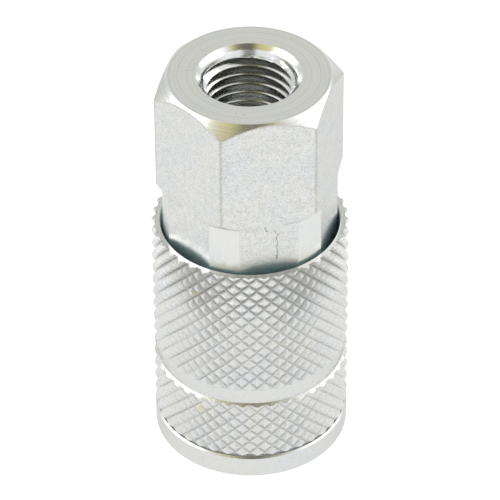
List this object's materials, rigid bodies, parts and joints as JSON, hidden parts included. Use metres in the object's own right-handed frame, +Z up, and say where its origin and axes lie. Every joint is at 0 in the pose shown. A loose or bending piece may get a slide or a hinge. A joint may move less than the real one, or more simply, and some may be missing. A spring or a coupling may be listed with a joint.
{
  "type": "quick disconnect coupler",
  "caption": "Air line quick disconnect coupler: hexagonal body with a female tapered thread, spring-loaded knurled release sleeve, locking balls and a spring-closed shut-off valve.",
  "frame": {"origin": "centre of the socket's mouth face, on the bore axis, where the coupler stands", "axes": "+Z up the bore from the plug's mouth to the threaded end; two corners of the hexagon lie on the X axis"},
  "size_m": [0.0266, 0.0266, 0.0595],
  "materials": {
    "zinc_plated_steel": "bright zinc plate, satin on the turned faces",
    "spring_steel": "drawn wire",
    "ball_steel": "polished",
    "brass": "machined",
    "nitrile_rubber": "moulded matt"
  },
  "bodies": {
    "socket": {"adapter": "zinc_plated_steel", "socket_body": "zinc_plated_steel", "retaining_ring": "spring_steel", "sleeve_spring": "spring_steel", "body_o_ring": "nitrile_rubber", "plug_seal": "nitrile_rubber", "valve_seat": "brass", "valve_spring": "spring_steel", "valve_spring_guide": "brass"},
    "sleeve_carrier": {"sleeve_spring_washer": "spring_steel"},
    "sleeve": {"sleeve": "zinc_plated_steel"},
    "valve": {"valve_poppet": "brass", "valve_washer": "nitrile_rubber"},
    "ball_1": {"locking_ball_1": "ball_steel"},
    "ball_2": {"locking_ball_2": "ball_steel"},
    "ball_3": {"locking_ball_3": "ball_steel"},
    "ball_4": {"locking_ball_4": "ball_steel"},
    "ball_5": {"locking_ball_5": "ball_steel"},
    "ball_6": {"locking_ball_6": "ball_steel"}
  },
  "joints": [
    {"name": "sleeve_slide", "type": "slide", "parent": "socket", "child": "sleeve_carrier", "axis": [0, 0, 1], "range_m": [0, 0.006], "stiffness_N_per_m": 1500, "springref_m": -0.008, "deforming": ["sleeve_spring"]},
    {"name": "sleeve_spin", "type": "hinge", "parent": "sleeve_carrier", "child": "sleeve", "pos_m": [0, 0, 0.02], "axis": [0, 0, 1], "continuous": true},
    {"name": "valve_slide", "type": "slide", "parent": "socket", "child": "valve", "axis": [0, 0, 1], "range_m": [0, 0.004], "stiffness_N_per_m": 600, "springref_m": -0.006, "deforming": ["valve_spring"]},
    {"name": "ball_1_slide", "type": "slide", "parent": "socket", "child": "ball_1", "axis": [0.866, 0.5, 0], "range_m": [0, 0.0012]},
    {"name": "ball_2_slide", "type": "slide", "parent": "socket", "child": "ball_2", "axis": [0, 1, 0], "range_m": [0, 0.0012]},
    {"name": "ball_3_slide", "type": "slide", "parent": "socket", "child": "ball_3", "axis": [-0.866, 0.5, 0], "range_m": [0, 0.0012]},
    {"name": "ball_4_slide", "type": "slide", "parent": "socket", "child": "ball_4", "axis": [-0.866, -0.5, 0], "range_m": [0, 0.0012]},
    {"name": "ball_5_slide", "type": "slide", "parent": "socket", "child": "ball_5", "axis": [0, -1, 0], "range_m": [0, 0.0012]},
    {"name": "ball_6_slide", "type": "slide", "parent": "socket", "child": "ball_6", "axis": [0.866, -0.5, 0], "range_m": [0, 0.0012]}
  ],
  "couplings": [
    {"joint": "ball_1_slide", "follows": "sleeve_slide", "ratio": 0.2},
    {"joint": "ball_2_slide", "follows": "sleeve_slide", "ratio": 0.2},
    {"joint": "ball_3_slide", "follows": "sleeve_slide", "ratio": 0.2},
    {"joint": "ball_4_slide", "follows": "sleeve_slide", "ratio": 0.2},
    {"joint": "ball_5_slide", "follows": "sleeve_slide", "ratio": 0.2},
    {"joint": "ball_6_slide", "follows": "sleeve_slide", "ratio": 0.2}
  ]
}
